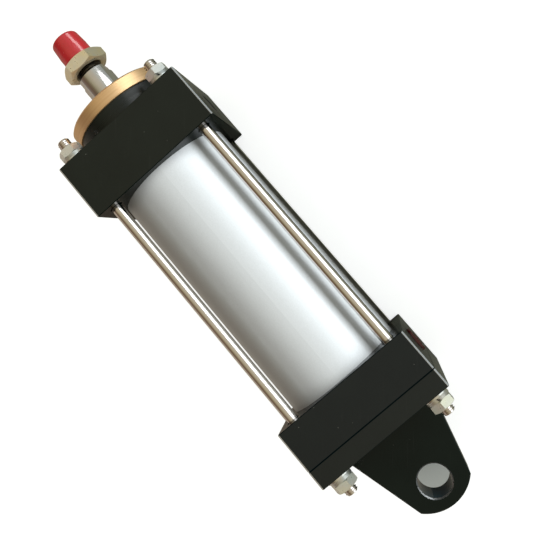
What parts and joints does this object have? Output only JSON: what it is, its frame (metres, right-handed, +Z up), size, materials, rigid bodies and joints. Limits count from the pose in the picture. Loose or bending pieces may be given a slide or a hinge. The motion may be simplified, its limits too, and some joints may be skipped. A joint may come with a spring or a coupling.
{
  "type": "hydraulic cylinder",
  "caption": "Double-acting tie-rod hydraulic cylinder with square black covers, a satin barrel, a single rear eye and a threaded rod end that slides out of a bronze gland.",
  "frame": {"origin": "centre of the rear eye, on the eye's axis and half way through the lug", "axes": "+X along the cylinder towards the rod end, +Z up along the eye's axis, and the oil ports face -Y"},
  "size_m": [0.3744, 0.0913, 0.09],
  "materials": {
    "black_paint": "glossy black enamel",
    "barrel": "satin silver",
    "tie_rod_steel": "bright drawn and plated",
    "zinc_plate": "bright zinc plate",
    "bronze": "satin turned",
    "hard_chrome": "polished hard chrome",
    "piston_metal": "fine turned",
    "nitrile_rubber": "matt",
    "polyurethane": "satin",
    "wear_ring": "matt bronze-filled plastic",
    "red_plastic": "glossy soft plastic"
  },
  "bodies": {
    "cylinder": {"barrel_tube": "barrel", "front_head": "black_paint", "rear_cap": "black_paint", "bracket_plate": "black_paint", "eye_lug": "black_paint", "front_tube_o_ring": "nitrile_rubber", "rear_tube_o_ring": "nitrile_rubber", "gland_bush": "bronze", "gland_o_ring": "nitrile_rubber", "rod_seal": "polyurethane", "rod_wiper": "nitrile_rubber", "tie_rod_upper_left": "tie_rod_steel", "front_flat_washer_upper_left": "zinc_plate", "front_spring_washer_upper_left": "zinc_plate", "front_nut_upper_left": "zinc_plate", "rear_flat_washer_upper_left": "zinc_plate", "rear_spring_washer_upper_left": "zinc_plate", "rear_nut_upper_left": "zinc_plate", "tie_rod_upper_right": "tie_rod_steel", "front_flat_washer_upper_right": "zinc_plate", "front_spring_washer_upper_right": "zinc_plate", "front_nut_upper_right": "zinc_plate", "rear_flat_washer_upper_right": "zinc_plate", "rear_spring_washer_upper_right": "zinc_plate", "rear_nut_upper_right": "zinc_plate", "tie_rod_lower_right": "tie_rod_steel", "front_flat_washer_lower_right": "zinc_plate", "front_spring_washer_lower_right": "zinc_plate", "front_nut_lower_right": "zinc_plate", "rear_flat_washer_lower_right": "zinc_plate", "rear_spring_washer_lower_right": "zinc_plate", "rear_nut_lower_right": "zinc_plate", "tie_rod_lower_left": "tie_rod_steel", "front_flat_washer_lower_left": "zinc_plate", "front_spring_washer_lower_left": "zinc_plate", "front_nut_lower_left": "zinc_plate", "rear_flat_washer_lower_left": "zinc_plate", "rear_spring_washer_lower_left": "zinc_plate", "rear_nut_lower_left": "zinc_plate"},
    "piston_seals": {"piston_seal_rear": "polyurethane", "piston_seal_front": "polyurethane", "piston_wear_ring": "wear_ring"},
    "rod": {"piston_rod": "hard_chrome", "piston": "piston_metal", "piston_nut": "zinc_plate", "piston_o_ring": "nitrile_rubber"},
    "lock_nut": {"rod_lock_nut": "zinc_plate"},
    "rod_cap": {"thread_cap": "red_plastic"},
    "port_plug": {"rear_port_plug": "red_plastic"}
  },
  "joints": [
    {"name": "rod_stroke", "type": "slide", "parent": "cylinder", "child": "piston_seals", "axis": [1, 0, 0], "range_m": [0, 0.15]},
    {"name": "rod_turn", "type": "hinge", "parent": "piston_seals", "child": "rod", "pos_m": [0.1, 0, 0], "axis": [1, 0, 0], "continuous": true},
    {"name": "lock_nut_spin", "type": "hinge", "parent": "rod", "child": "lock_nut", "pos_m": [0.3338, 0, 0], "axis": [1, 0, 0], "continuous": true},
    {"name": "cap_pull", "type": "slide", "parent": "rod", "child": "rod_cap", "axis": [1, 0, 0], "range_m": [0, 0.03]},
    {"name": "plug_pull", "type": "slide", "parent": "cylinder", "child": "port_plug", "axis": [0, -1, 0], "range_m": [0, 0.015]}
  ]
}
